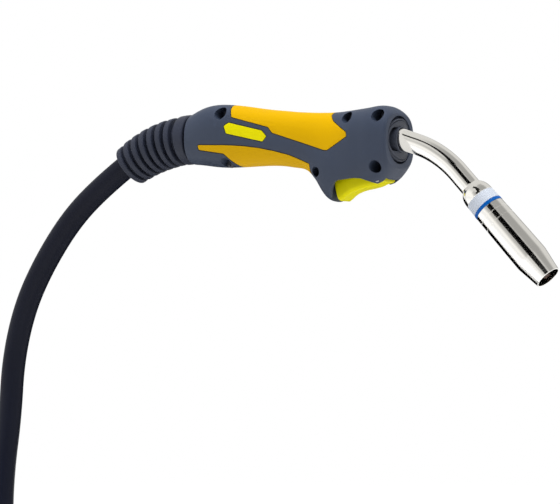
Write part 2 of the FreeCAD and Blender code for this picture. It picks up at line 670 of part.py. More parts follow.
def cable_boot():
    """Ribbed rubber boot: a cuff at the handle, then round ribs on a bent core."""
    arc = Part.Arc(BOOT_START, boot_frame(BOOT_TURN / 2)[0], boot_frame(BOOT_TURN)[0]).toShape()
    core = swept(Part.Wire([arc]), BOOT_CORE_R)
    spigot = x_rod(HANDLE_REAR - 2.5, HANDLE_REAR + 5.4, 13.1, 0, AXIS_Z)
    flange = x_rod(HANDLE_REAR + 3.5, HANDLE_REAR + 5.4, 14.4, 0, AXIS_Z)
    solids = [spigot, flange, boot_disc(BOOT_CUFF[0], BOOT_CUFF[1], BOOT_CUFF_R, 1.2)]
    for i, radius in enumerate(BOOT_RIBS):
        middle = BOOT_FIRST_RIB + BOOT_RIB_PITCH * i
        solids.append(boot_disc(middle - BOOT_RIB_WIDTH / 2, middle + BOOT_RIB_WIDTH / 2, radius, 0.8))
    boot = core.fuse(solids)
    boot = boot.cut(cable_in_handle())
    return boot.cut(rod(CABLE_EXIT, CABLE_ROUTE[1], CABLE_R + 0.05))


# ---- cable ------------------------------------------------------------------------------------------
def power_cable():
    radii = [bend_radius(CABLE_ROUTE[i - 1], CABLE_ROUTE[i], CABLE_ROUTE[i + 1])
             for i in range(1, len(CABLE_ROUTE) - 1)]
    path = rounded_path(CABLE_ROUTE, radii)
    tube = swept(path, CABLE_R)
    runs = [(CABLE_ROUTE[i + 1] - CABLE_ROUTE[i]).Length for i in range(len(CABLE_ROUTE) - 1)]
    print("cable runs", [round(r) for r in runs])
    print("cable bend radii", [round(r) for r in radii], "smallest allowed", 10 * CABLE_R)
    print("cable tube volume / section x length",
          round(tube.Volume / (math.pi * CABLE_R ** 2 * path.Length), 4))
    tail = PLUG_START - COIL_JOIN.x
    coiled = COIL_TURNS * math.pi * (COIL_OUTER_R + COIL_INNER_R)
    print("cable length", round(path.Length + tail + coiled), "of", CABLE_LENGTH)
    return tube


def cable_coil():
    """Outer shape of the coil: four turns, two wide and two high."""
    low = V(COIL_CENTRE.x, COIL_CENTRE.y, FLOOR_Z)
    height = HIGH_LAYER_Z + CABLE_R - FLOOR_Z
    outer = Part.makeCylinder(COIL_OUTER_R + CABLE_R, height, low)
    coil = outer.cut(Part.makeCylinder(COIL_INNER_R - CABLE_R, height, low))
    rims = [e for e in coil.Edges if len(e.Vertexes) == 1 and e.BoundBox.ZLength < 0.01]
    return coil.makeFillet(6.0, rims)


def cable_tail():
    """The last turn's end, which leaves the coil and runs straight into the connector."""
    points = [V(COIL_JOIN.x - 56, PLUG_Y + 22.5, PLUG_Z), V(COIL_JOIN.x + 4, PLUG_Y, PLUG_Z),
              V(PLUG_START, PLUG_Y, PLUG_Z)]
    return swept(rounded_path(points, [bend_radius(*points)]), CABLE_R)


def coil_tie():
    """Strap round all the turns at one place, on the far side of the coil."""
    angle = math.radians(75)
    middle = V(COIL_CENTRE.x + (COIL_OUTER_R + COIL_INNER_R) / 2 * math.cos(angle),
               COIL_CENTRE.y + (COIL_OUTER_R + COIL_INNER_R) / 2 * math.sin(angle), 0)
    stack = HIGH_LAYER_Z + CABLE_R - FLOOR_Z
    half = stack / 2 + TIE_SLACK
    strap = box(-9.0, 9.0, -half - TIE_THICKNESS, half + TIE_THICKNESS, 0.0, stack + TIE_THICKNESS + 0.1)
    strap = strap.makeFillet(7.4, [e for e in strap.Edges if e.BoundBox.XLength > 17 and e.BoundBox.ZMin > 1])
    inside = box(-10.0, 10.0, -half, half, -1.0, stack + 0.1)
    inside = inside.makeFillet(6.0, [e for e in inside.Edges if e.BoundBox.XLength > 19 and e.BoundBox.ZMin > 1])
    strap = strap.cut(inside)
    strap.rotate(V(0, 0, 0), Z_AXIS, math.degrees(angle) - 90)
    strap.translate(V(middle.x, middle.y, FLOOR_Z))
    return strap


# ---- connector ----------------------------------------------------------------------------------------
def connector_boot():
    """Rubber support that the cable enters the connector through."""
    a = PLUG_START
    profile = [(a, CABLE_R + 0.1), (a, 11.0)]
    for i in range(4):
        s = a + 3 + 8 * i
        r = 11.6 + 1.0 * i
        profile += [(s, r), (s + 4.5, r + 0.4), (s + 5.0, r - 1.8), (s + 7.5, r - 1.6)]
    profile += [(a + 36, 15.2), (PLUG_SHELL[0] + 6.0, 15.2), (PLUG_SHELL[0] + 6.0, CABLE_R + 0.1)]
    return on_plug(profile)


def connector_cable_end():
    return x_rod(PLUG_START, PLUG_SHELL[1] - 24.0, CABLE_R, PLUG_Y, PLUG_Z)


def connector_shell(side):
    """One half of the connector's hand grip."""
    x0, x1 = PLUG_SHELL
    outline = [
        (x0, 15.4), (x0, 18.0), (x0 + 2.0, 19.4), (x0 + 10, 20.2), (x0 + 20, 18.9), (x0 + 36, 18.9),
        (x0 + 46, 20.6), (x1 - 1.0, 20.6), (x1, 19.8), (x1, 18.2), (x1 - 8.0, 18.2), (x1 - 8.0, 16.4),
        (x0 + 6.2, 16.4), (x0 + 6.2, 15.4),
    ]
    solid = on_plug(outline)
    for i in range(6):
        cut_x = x0 + 20 + 3.0 * i
        solid = solid.cut(on_plug([(cut_x, 18.3), (cut_x + 1.4, 18.3), (cut_x + 1.4, 22.0), (cut_x, 22.0)]))
    for x in CONNECTOR_SCREW_X:
        boss = y_rod(x, CONNECTOR_SCREW_Z, PLUG_Y - 21, PLUG_Y + 21, 3.4)
        solid = solid.fuse(boss.common(x_rod(x0 + 2, x1 - 10, 18.0, PLUG_Y, PLUG_Z)))
    solid = solid.cut(x_rod(x0 + 7, x1 - 9, 11.3, PLUG_Y, PLUG_Z))
    half_y = (PLUG_Y - 40, PLUG_Y) if side < 0 else (PLUG_Y, PLUG_Y + 40)
    solid = solid.common(box(x0 - 5, x1 + 5, half_y[0], half_y[1], PLUG_Z - 40, PLUG_Z + 40))
    for x in CONNECTOR_SCREW_X:
        if side < 0:
            solid = solid.cut(y_rod(x, CONNECTOR_SCREW_Z, PLUG_Y - 30, CONNECTOR_HEAD_Y, 2.6))
        solid = solid.cut(y_rod(x, CONNECTOR_SCREW_Z, PLUG_Y - 30, PLUG_Y + 8, CONNECTOR_SCREW_R))
    return solid


def connector_screw(x):
    shank = y_rod(x, CONNECTOR_SCREW_Z, CONNECTOR_HEAD_Y, PLUG_Y + 7.5, CONNECTOR_SCREW_R)
    return shank.fuse(y_rod(x, CONNECTOR_SCREW_Z, CONNECTOR_HEAD_Y - 1.8, CONNECTOR_HEAD_Y, 2.4))


def connector_body():
    """Brass body: flange held by the shells, round face, and the tail that the cable is crimped to."""
    x1 = PLUG_SHELL[1]
    lip_x = PLUG_NUT[0] + NUT_LIP
    profile = [(x1 - 34, 2.6), (PLUG_FACE, 2.6), (PLUG_FACE, 13.6), (PLUG_FACE - 1, 14.4), (lip_x + 3.4, 14.4),
               (lip_x + 3.4, 17.6), (lip_x + 0.2, 17.6), (lip_x + 0.2, 14.4), (x1 - 0.2, 14.4),
               (x1 - 0.2, 18.0), (x1 - 7.8, 18.0), (x1 - 7.8, 11.0), (x1 - 22, 11.0), (x1 - 34, 10.0)]
    body = on_plug(profile)
    body = body.cut(x_rod(x1 - 35, x1 - 24, CABLE_R, PLUG_Y, PLUG_Z))
    body = body.cut(x_rod(PLUG_FACE - 12, PLUG_FACE + 1, PLUG_PIN_R, PLUG_Y, PLUG_Z))
    for side in (-1, 1):
        body = body.cut(x_rod(PLUG_FACE - 16, PLUG_FACE + 1, CONTROL_PIN_R + RUNNING_CLEARANCE,
                              PLUG_Y + side * CONTROL_PIN_OFFSET, PLUG_Z - 3.0))
    return body


def connector_plug_pin():
    """Central pin that carries the current, the gas and the wire."""
    profile = [(PLUG_FACE - 12, 1.6), (PLUG_TIP, 1.6), (PLUG_TIP, 4.2), (PLUG_TIP - 1.0, PLUG_PIN_R),
               (PLUG_FACE + 9.0, PLUG_PIN_R), (PLUG_FACE + 9.0, 4.0), (PLUG_FACE + 7.0, 4.0),
               (PLUG_FACE + 7.0, PLUG_PIN_R), (PLUG_FACE - 12, PLUG_PIN_R)]
    return on_plug(profile)


def connector_o_ring():
    centre = V(PLUG_FACE + 8.0, PLUG_Y, PLUG_Z)
    return Part.makeTorus(4.85, 0.8, centre, X_AXIS)


def connector_nut():
    """Hand nut with finger flutes that draws the connector into the machine."""
    x0, x1 = PLUG_NUT
    profile = [(x0, 14.8), (x0 + NUT_LIP, 14.8), (x0 + NUT_LIP, NUT_BORE_R), (x1, NUT_BORE_R),
               (x1, 23.6), (x1 - 1.4, PLUG_NUT_R), (x0 + 1.4, PLUG_NUT_R), (x0, 23.6)]
    nut = on_plug(profile)
    for i in range(12):
        flute = x_rod(x0 + 4.0, x1 + 1.0, 2.4, PLUG_Y, PLUG_Z + 26.2)
        flute.rotate(V(0, PLUG_Y, PLUG_Z), X_AXIS, 30.0 * i + 15.0)
        nut = nut.cut(flute)
    return nut


def control_pin(side):
    y = PLUG_Y + side * CONTROL_PIN_OFFSET
    z = PLUG_Z - 3.0
    pin = x_rod(PLUG_FACE - 12.0, PLUG_FACE + 7.0, CONTROL_PIN_R, y, z)
    return pin.makeFillet(0.8, [e for e in pin.Edges if abs(e.BoundBox.XMin - PLUG_FACE - 7.0) < 0.01])


# ---- build ------------------------------------------------------------------------------------------
def main():
    outer = handle_outer()
    inner = handle_body(WALL, HANDLE_REAR + 3.4, HANDLE_FRONT - 8.0)
    core = handle_body(INLAY_DEPTH, HANDLE_REAR - 0.2, HANDLE_FRONT + 0.2)
    skin = outer.cut(core)
    blank = handle_blank(outer, inner, core)
    inlays = {"top_grip_": inlay(TOP_INLAY, skin), "lower_grip_": inlay(LOWER_INLAY, skin),
              "badge_": inlay(BADGE, skin)}
    for name, side in (("left", -1), ("right", 1)):
        save("handle_shell_" + name, shell(side, blank))
        for inlay_name, solid in inlays.items():
            save(inlay_name + name, solid.common(half_space(side)))
        save("connector_shell_" + name, connector_shell(side))
        save("control_pin_" + name, control_pin(side))
    save("shell_screws", Part.makeCompound([shell_screw(x, z) for x, z, r in SHELL_SCREWS]))
    save("neck_seat_ring", neck_seat_ring())
    save("trigger", trigger())
    save("trigger_pivot_pin", y_rod(TRIGGER_PIVOT.x, TRIGGER_PIVOT.z, -12.9, 12.9, PIVOT_PIN_R))
    save("trigger_spring", trigger_spring())
    save("microswitch_body", microswitch_body())
    save("microswitch_plunger", microswitch_plunger())
    save("control_wires", control_wires())
    save("swan_neck", swan_neck())
    save("neck_liner_tube", neck_liner_tube())
    save("wire_liner", wire_liner())
    save("insulating_sleeve", insulating_sleeve())
    save("blue_ring", blue_ring())
    save("tip_holder", tip_holder())
    save("gas_diffuser", gas_diffuser())
    save("contact_tip", contact_tip())
    save("nozzle_spring", nozzle_spring())
    save("gas_nozzle", gas_nozzle())
    save("neck_block", neck_block())
    save("neck_lock_nut", neck_lock_nut())
    save("cable_crimp", cable_crimp())
    save("cable_core", cable_core())
    save("cable_in_handle", cable_in_handle())
    save("cable_boot", cable_boot())
    save("power_cable", power_cable())
    save("cable_coil", cable_coil())
    save("cable_tail", cable_tail())
    save("coil_tie", coil_tie())
    save("connector_boot", connector_boot())
    save("connector_cable_end", connector_cable_end())
    save("connector_screws", Part.makeCompound([connector_screw(x) for x in CONNECTOR_SCREW_X]))
    save("connector_body", connector_body())
    save("connector_plug_pin", connector_plug_pin())
    save("connector_o_ring", connector_o_ring())
    save("connector_nut", connector_nut())


main()
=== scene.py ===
import math

import bmesh
import bpy
from mathutils import Matrix, Vector


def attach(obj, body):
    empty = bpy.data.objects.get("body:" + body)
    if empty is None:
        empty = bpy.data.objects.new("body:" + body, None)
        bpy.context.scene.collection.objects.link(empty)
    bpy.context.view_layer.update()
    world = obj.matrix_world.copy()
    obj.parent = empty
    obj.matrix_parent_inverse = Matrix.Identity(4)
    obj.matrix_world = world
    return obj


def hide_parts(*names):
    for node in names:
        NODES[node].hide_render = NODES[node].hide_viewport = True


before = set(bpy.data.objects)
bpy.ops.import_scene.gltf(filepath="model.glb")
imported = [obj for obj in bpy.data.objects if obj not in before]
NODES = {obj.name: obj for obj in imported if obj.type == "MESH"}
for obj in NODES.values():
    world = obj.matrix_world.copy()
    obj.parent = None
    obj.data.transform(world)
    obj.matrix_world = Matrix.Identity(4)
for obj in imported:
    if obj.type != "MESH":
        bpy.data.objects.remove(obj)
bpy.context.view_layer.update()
SCENE = bpy.context.scene
MM = 0.001

# ---- dimensions in millimetres, most of them the CAD model's own ---------------------------------
AXIS_Z = 2.2
NECK_R = 7.2
NECK_BORE_R = 4.3
NECK_BEND_R = 75.0
NECK_START = Vector((60.0, 0, AXIS_Z))       # inside the head, out of sight
NECK_LOW_BEND = Vector((78.7, 0, AXIS_Z))
NECK_HIGH_BEND = Vector((122.2, 0, -12.3))
NOZZLE_ORIGIN = Vector((158.0, 0, -50.7))
NOZZLE_AXIS = (NOZZLE_ORIGIN - NECK_HIGH_BEND).normalized()
NECK_END_S = -1.2          # measured along the nozzle's axis from the middle of the blue ring
SHOULDER_S = -20.0
SLEEVE_S = -9.3
RING_S = -1.4
NOZZLE_START = 1.0
NOZZLE_END = 64.0
TAPER_S = 46.4

BOOT_ARC_R = 104.0
BOOT_TURN = math.radians(34.2)
BOOT_START = Vector((-70.0, 0, AXIS_Z))
BOOT_BORE_R = 6.0          # smaller than the cable, which fills it
BOOT_CORE_R = 11.6
BOOT_CUFF = (4.6, 12.4)
BOOT_CUFF_R = 17.7
BOOT_RIBS = [17.3, 17.3, 17.1, 16.8, 16.4, 16.0, 15.3]
BOOT_FIRST_RIB = 18.3
BOOT_RIB_PITCH = 6.92
BOOT_RIB_WIDTH = 4.0

CABLE_R = 8.5
CABLE_BEND_X = -77.0
CABLE_BEND_R = 92.7
CABLE_TURN = math.radians(33.5)
CABLE_EXIT = (CABLE_BEND_X - CABLE_BEND_R * math.sin(CABLE_TURN), 0,
              AXIS_Z - CABLE_BEND_R * (1 - math.cos(CABLE_TURN)))
FLOOR_Z = -355.0
COIL_CENTRE = Vector((-10.0, 8.0, 0))
COIL_OUTER_R = 103.5
COIL_INNER_R = 86.5
COIL_TURNS = 4
LOW_LAYER_Z = FLOOR_Z + CABLE_R
HIGH_LAYER_Z = LOW_LAYER_Z + 2 * CABLE_R
PLUG_START = 54.0          # where the cable goes into the connector, along X
PLUG_Y = COIL_CENTRE.y - COIL_OUTER_R - 2 * CABLE_R
CABLE_ROUTE = [
    CABLE_EXIT,
    (-149.9, 0, -27.5),
    (-179, 0, -52),
    (-204, 0, -85.3),
    (-221.5, 0, -118),
    (-231.4, -0.5, -157),
    (-231.5, -4, -198),
    (-231, -14, -240),
    (-221, -30, -281),
    (-193, -48, -316),
    (-152, -66, -338.5),
    (-106, -81, -346.5),
    (-58, -91, -346.5),
]
SUPPORTED_LENGTH = 1.5     # stretches of an outline from this length up get support points
SUPPORT_GAP = 0.2


# ---- mesh helpers --------------------------------------------------------------------------------
def new_object(name, data, body, materials):
    """Add a piece that rides on a body, with its materials in order."""
    piece = bpy.data.objects.new(name, data)
    SCENE.collection.objects.link(piece)
    for material in materials:
        data.materials.append(material)
    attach(piece, body)
    return piece


def mesh_from(name, verts, faces, face_slots=None, sharp=38):
    """Verts in millimetres. Smooth shading, with edges sharper than the angle kept crisp."""
    mesh = bpy.data.meshes.new(name)
    mesh.from_pydata([Vector(v) * MM for v in verts], [], faces)
    mesh.validate()
    if face_slots:
        mesh.polygons.foreach_set("material_index", face_slots)
    bm = bmesh.new()
    bm.from_mesh(mesh)
    bmesh.ops.recalc_face_normals(bm, faces=bm.faces)
    bm.to_mesh(mesh)
    bm.free()
    mesh.shade_smooth()
    mesh.set_sharp_from_angle(angle=math.radians(sharp))
    return mesh


def rounded(profile, steps=4):
    """Round the corners of a closed outline. Each point is (s, r) or (s, r, corner radius)."""
    out = []
    count = len(profile)
    for i, point in enumerate(profile):
        here = Vector(point[:2])
        if len(point) < 3:
            out.append(tuple(here))
            continue
        before = Vector(profile[i - 1][:2])
        after = Vector(profile[(i + 1) % count][:2])
        to_before = (before - here).normalized()
        to_after = (after - here).normalized()
        half = to_before.angle(to_after) / 2
        back = point[2] / math.tan(half)
        middle = here + (to_before + to_after).normalized() * (point[2] / math.sin(half))
        start = here + to_before * back - middle
        end = here + to_after * back - middle
        turn = start.angle_signed(end)
        for k in range(steps + 1):
            angle = -turn * k / steps
            c, s = math.cos(angle), math.sin(angle)
            out.append((middle.x + start.x * c - start.y * s, middle.y + start.x * s + start.y * c))
    return out


def supported(profile, slots):
    """Add a point near each end of every long stretch, so that shading stays flat along it."""
    points = []
    point_slots = []
    for i, (s, r) in enumerate(profile):
        next_s, next_r = profile[(i + 1) % len(profile)]
        length = math.hypot(next_s - s, next_r - r)
        shares = (0.0,)
        if length >= SUPPORTED_LENGTH:
            shares = (0.0, SUPPORT_GAP / length, 1 - SUPPORT_GAP / length)
        for share in shares:
            points.append((s + (next_s - s) * share, r + (next_r - r) * share))
            point_slots.append(slots[i] if slots else 0)
    return points, point_slots if slots else None


def lathe(name, profile, frame_at, segments=96, slots=None, sharp=38):
    """Turn a closed outline of (distance, radius) round a centre line given by frame_at(distance)."""
    profile, slots = supported(profile, slots)
    verts = []
    faces = []
    face_slots = []
    rings = len(profile)
    for s, r in profile:
        centre, side, up = frame_at(s)
        for k in range(segments):
            angle = 2 * math.pi * k / segments
            verts.append(centre + side * (r * math.cos(angle)) + up * (r * math.sin(angle)))
    for i in range(rings):
        j = (i + 1) % rings
        for k in range(segments):
            n = (k + 1) % segments
            faces.append((i * segments + k, i * segments + n, j * segments + n, j * segments + k))
            if slots:
                face_slots.append(slots[i])
    return mesh_from(name, verts, faces, face_slots or None, sharp)


def on_nozzle(s):
    """Straight centre line of the nozzle, ring and sleeve."""
    side = Vector((0, 1, 0))
    return NOZZLE_ORIGIN + NOZZLE_AXIS * s, side, NOZZLE_AXIS.cross(side)


def on_boot(s):
    """Centre line of the boot: straight in the handle, then the arc."""
    side = Vector((0, 1, 0))
    if s <= 0:
        return Vector((BOOT_START.x - s, 0, AXIS_Z)), side, Vector((0, 0, 1))
    angle = s / BOOT_ARC_R
    centre = Vector((BOOT_START.x - BOOT_ARC_R * math.sin(angle), 0,
                     AXIS_Z - BOOT_ARC_R * (1 - math.cos(angle))))
    return centre, side, Vector((-math.sin(angle), 0, math.cos(angle)))


def neck_frames():
    """Centre line of the neck, lines joined by tangent arcs: frame_at(distance), and its length."""
    points = [NECK_START, NECK_LOW_BEND, NECK_HIGH_BEND, NOZZLE_ORIGIN + NOZZLE_AXIS * NECK_END_S]
    pieces = []
    start = points[0]
    for i in (1, 2):
        into = (points[i] - points[i - 1]).normalized()
        out = (points[i + 1] - points[i]).normalized()
        turn = into.angle(out)
        back = NECK_BEND_R * math.tan(turn / 2)
        arc_start = points[i] - into * back
        inward = (out - into * out.dot(into)).normalized()
        pieces.append(("line", start, into, (arc_start - start).length))
        pieces.append(("arc", arc_start, into, inward, NECK_BEND_R * turn))
        start = points[i] + out * back
    into = (points[3] - start).normalized()
    pieces.append(("line", start, into, (points[3] - start).length))
    total = sum(piece[-1] for piece in pieces)

    def frame_at(s):
        s += total - NECK_END_S
        side = Vector((0, 1, 0))
        for piece in pieces:
            if s <= piece[-1] or piece is pieces[-1]:
                break
            s -= piece[-1]
        if piece[0] == "line":
            centre = piece[1] + piece[2] * s
            along = piece[2]
        else:
            angle = s / NECK_BEND_R
            centre = piece[1] + piece[2] * (NECK_BEND_R * math.sin(angle))
            centre += piece[3] * (NECK_BEND_R * (1 - math.cos(angle)))
            along = piece[2] * math.cos(angle) + piece[3] * math.sin(angle)
        return centre, side, along.cross(side)

    return frame_at, total


# ---- materials -----------------------------------------------------------------------------------
class Nodes:
    """Small helper that builds a procedural material."""

    def __init__(self, name):
        self.material = bpy.data.materials.new(name)
        self.material.use_nodes = True
        self.tree = self.material.node_tree
        self.tree.nodes.clear()
        self.output = self.add("ShaderNodeOutputMaterial")
        self.shader = self.add("ShaderNodeBsdfPrincipled")
        self.link(self.shader, "BSDF", self.output, "Surface")
        self.coords = self.add("ShaderNodeTexCoord")

    def add(self, kind, **settings):
        node = self.tree.nodes.new(kind)
        for key, value in settings.items():
            setattr(node, key, value)
        return node

    def link(self, a, out, b, into):
        self.tree.links.new(a.outputs[out], b.inputs[into])

    def noise(self, scale, detail=3.0, roughness=0.55):
        node = self.add("ShaderNodeTexNoise")
        node.inputs["Scale"].default_value = scale
        node.inputs["Detail"].default_value = detail
        node.inputs["Roughness"].default_value = roughness
        self.link(self.coords, "Object", node, "Vector")
        return node

    def ramp(self, source, out, low, high, start=0.3, end=0.7):
        """Blend from one colour to another as an output goes from start to end."""
        node = self.add("ShaderNodeValToRGB")
        node.color_ramp.elements[0].position = start
        node.color_ramp.elements[1].position = end
        node.color_ramp.elements[0].color = (*low, 1)
        node.color_ramp.elements[1].color = (*high, 1)
        self.link(source, out, node, "Fac")
        return node

    def rough(self, source, low, high):
        """Let a noise move the roughness between two values."""
        node = self.add("ShaderNodeMapRange")
        node.inputs["From Min"].default_value = 0.3
        node.inputs["From Max"].default_value = 0.7
        node.inputs["To Min"].default_value = low
        node.inputs["To Max"].default_value = high
        self.link(source, "Fac", node, "Value")
        self.link(node, "Result", self.shader, "Roughness")
        return node

    def bump(self, layers, edge=0.0):
        """Stack bump layers of (node, output, distance in mm, strength). edge rounds sharp edges, mm."""
        before = None
        if edge:
            before = self.add("ShaderNodeBevel", samples=6)
            before.inputs["Radius"].default_value = edge * MM
        for node, out, distance, strength in layers:
            bump = self.add("ShaderNodeBump")
            bump.inputs["Distance"].default_value = distance * MM
            bump.inputs["Strength"].default_value = strength
            self.link(node, out, bump, "Height")
            if before:
                self.link(before, "Normal", bump, "Normal")
            before = bump
        self.link(before, "Normal", self.shader, "Normal")


def shade(colour, factor):
    return tuple(min(1.0, c * factor) for c in colour)


def moulded(name, colour, rough, grain=1500, grain_depth=0.03, edge=0.25, variation=0.10, wear=0.0,
            specular=0.5):
    """Moulded plastic or rubber: fine grain, slow colour drift, and paler rubbed edges where wear is set."""
    m = Nodes(name)
    drift = m.noise(28, 4)
    fine = m.noise(grain, 2, 0.6)
    colours = m.ramp(drift, "Fac", shade(colour, 1 - variation), shade(colour, 1 + variation))
    surface = colours.outputs["Color"]
    if wear:
        pointed = m.add("ShaderNodeNewGeometry")
        rubbed = m.ramp(pointed, "Pointiness", (0, 0, 0), (wear, wear, wear), 0.52, 0.60)
        mix = m.add("ShaderNodeMix", data_type="RGBA")
        m.link(rubbed, "Color", mix, "Factor")
        m.tree.links.new(surface, mix.inputs["A"])
        mix.inputs["B"].default_value = (*shade(colour, 2.2), 1)
        surface = mix.outputs["Result"]
    m.tree.links.new(surface, m.shader.inputs["Base Color"])
    m.rough(m.noise(55, 5, 0.6), rough - 0.05, rough + 0.06)
    m.shader.inputs["Specular IOR Level"].default_value = specular
    m.bump([(drift, "Fac", 0.15, 0.15), (fine, "Fac", grain_depth, 0.5)], edge)
    return m.material


def metal(name, colour, rough, brushed, edge=0.1, grime=0.0):
    """Plated or turned metal: faint tarnish drift, and a fine grain as deep as brushed says."""
    m = Nodes(name)
    drift = m.noise(35, 5)
    lines = m.noise(900, 3, 0.6)
    colours = m.ramp(drift, "Fac", shade(colour, 0.96 - grime), shade(colour, 1.04))
    m.link(colours, "Color", m.shader, "Base Color")
    m.shader.inputs["Metallic"].default_value = 1.0
    m.rough(m.noise(90, 6, 0.65), rough * 0.8, rough * 1.25)
    m.bump([(drift, "Fac", 0.01, 0.03), (lines, "Fac", 0.01, brushed)], edge)
    return m.material


def woven(name, colour):
    """Narrow woven tape."""
    m = Nodes(name)
    warp = m.add("ShaderNodeTexWave", wave_type="BANDS", bands_direction="X")
    weft = m.add("ShaderNodeTexWave", wave_type="BANDS", bands_direction="Z")
    for wave in (warp, weft):
        wave.inputs["Scale"].default_value = 320
        wave.inputs["Distortion"].default_value = 0.6
        m.link(m.coords, "Object", wave, "Vector")
    fuzz = m.noise(2600, 4, 0.7)
    colours = m.ramp(fuzz, "Fac", shade(colour, 0.6), shade(colour, 1.7))
    m.link(colours, "Color", m.shader, "Base Color")
    m.rough(fuzz, 0.75, 0.95)
    m.shader.inputs["Sheen Weight"].default_value = 0.35
    m.bump([(warp, "Fac", 0.25, 0.6), (weft, "Fac", 0.25, 0.6), (fuzz, "Fac", 0.1, 0.5)])
    return m.material


SLATE = (0.033, 0.044, 0.072)
AMBER = (0.58, 0.33, 0.0)
LIME = (0.68, 0.62, 0.0)

shell_plastic = moulded("shell_plastic", SLATE, 0.52, grain=1700, grain_depth=0.05, edge=0.5,
                        variation=0.06, wear=0.12, specular=0.3)
amber_rubber = moulded("amber_rubber", AMBER, 0.58, grain=1400, grain_depth=0.03, edge=0.4, variation=0.03,
                       specular=0.08)
lime_plastic = moulded("lime_plastic", LIME, 0.42, grain=900, grain_depth=0.01, edge=0.3, variation=0.03,
                       specular=0.1)
trigger_plastic = moulded("trigger_plastic", LIME, 0.40, grain=900, grain_depth=0.012, edge=0.5,
                          variation=0.04, specular=0.1)
boot_rubber = moulded("boot_rubber", (0.022, 0.026, 0.042), 0.50, grain=1300, grain_depth=0.03, edge=0.0,
                      variation=0.12, specular=0.25)
seat_rubber = moulded("seat_rubber", (0.034, 0.040, 0.058), 0.46, grain=1300, grain_depth=0.02, edge=0.0,
                      specular=0.35)
black_plastic = moulded("black_plastic", (0.012, 0.012, 0.014), 0.48, grain=1500, grain_depth=0.05,
                        edge=0.3, wear=0.3)
red_insulation = moulded("red_insulation", (0.45, 0.03, 0.02), 0.45, grain=700, grain_depth=0.01)
pale_sleeve = moulded("pale_sleeve", (0.50, 0.54, 0.61), 0.36, grain=1200, grain_depth=0.003, edge=0.0,
                      variation=0.01, specular=0.2)
blue_plastic = moulded("blue_plastic", (0.0, 0.085, 0.35), 0.34, grain=1200, grain_depth=0.003, edge=0.0,
                       specular=0.15)
white_ceramic = moulded("white_ceramic", (0.74, 0.71, 0.64), 0.55, grain=1600, grain_depth=0.03)
# soot and painted shade: the nozzle's bore is near black with no reflection, so that the recess reads dark
bore_soot_and_shade = moulded("bore_soot_and_shade", (0.002, 0.002, 0.002), 0.95, grain=900, grain_depth=0.02, edge=0.0, variation=0.3,
               specular=0.0)
nickel = metal("nickel", (0.90, 0.885, 0.85), 0.11, brushed=0.004, edge=0.0)
nozzle_nickel = metal("nozzle_nickel", (0.88, 0.865, 0.83), 0.12, brushed=0.006, edge=0.0)
brass = metal("brass", (0.75, 0.53, 0.22), 0.24, brushed=0.2, grime=0.10)
copper = metal("copper", (0.78, 0.36, 0.20), 0.24, brushed=0.2, grime=0.15)
used_copper = metal("used_copper", (0.10, 0.045, 0.03), 0.45, brushed=0.2, grime=0.3)
zinc_steel = metal("zinc_steel", (0.50, 0.50, 0.50), 0.30, brushed=0.25, grime=0.10)
dark_steel = metal("dark_steel", (0.10, 0.10, 0.11), 0.38, brushed=0.2, grime=0.2)
strap_weave = woven("strap_weave", (0.020, 0.020, 0.024))


def cable_jacket():
    """Extruded rubber jacket: satin, with faint drawn lines and a few scuffs."""
    m = Nodes("cable_jacket")
    drift = m.noise(14, 4)
    fine = m.noise(1500, 3, 0.6)
    scuffs = m.noise(180, 8, 0.75)
    colours = m.ramp(drift, "Fac", (0.0045, 0.0055, 0.0125), (0.0062, 0.0076, 0.0160))
    m.link(colours, "Color", m.shader, "Base Color")
    m.shader.inputs["Specular IOR Level"].default_value = 0.13
    m.rough(scuffs, 0.40, 0.52)
    m.bump([(drift, "Fac", 0.2, 0.1), (scuffs, "Fac", 0.02, 0.25), (fine, "Fac", 0.02, 0.4)])
    return m.material


jacket = cable_jacket()


# ---- camera --------------------------------------------------------------------------------------
VIEW_AZIMUTH = math.radians(30.0)          # from the left side round towards the nozzle
VIEW_ELEVATION = math.radians(-1.0)
VIEW_TARGET = Vector((-4.04, 0, -78.67)) * MM
VIEW_DISTANCE = 2.0


def make_camera():
    """Camera at the photo's viewing angle."""
    data = bpy.data.cameras.new("camera")
    data.lens = 183.7
    data.sensor_width = 36
    data.clip_start = 0.05
    data.clip_end = 100
    camera = bpy.data.objects.new("camera", data)
    SCENE.collection.objects.link(camera)
    level = math.cos(VIEW_ELEVATION)
    back = Vector((math.sin(VIEW_AZIMUTH) * level, -math.cos(VIEW_AZIMUTH) * level, math.sin(VIEW_ELEVATION)))
    camera.location = VIEW_TARGET + back * VIEW_DISTANCE
    camera.rotation_mode = "QUATERNION"
    camera.rotation_quaternion = (-back).to_track_quat("-Z", "Y")
    SCENE.camera = camera


make_camera()


# ---- cable ---------------------------------------------------------------------------------------
POINTS_PER_TURN = 20
TWIST_START = 200.0        # where the four turns change places, degrees round the coil
TWIST_END = 270.0


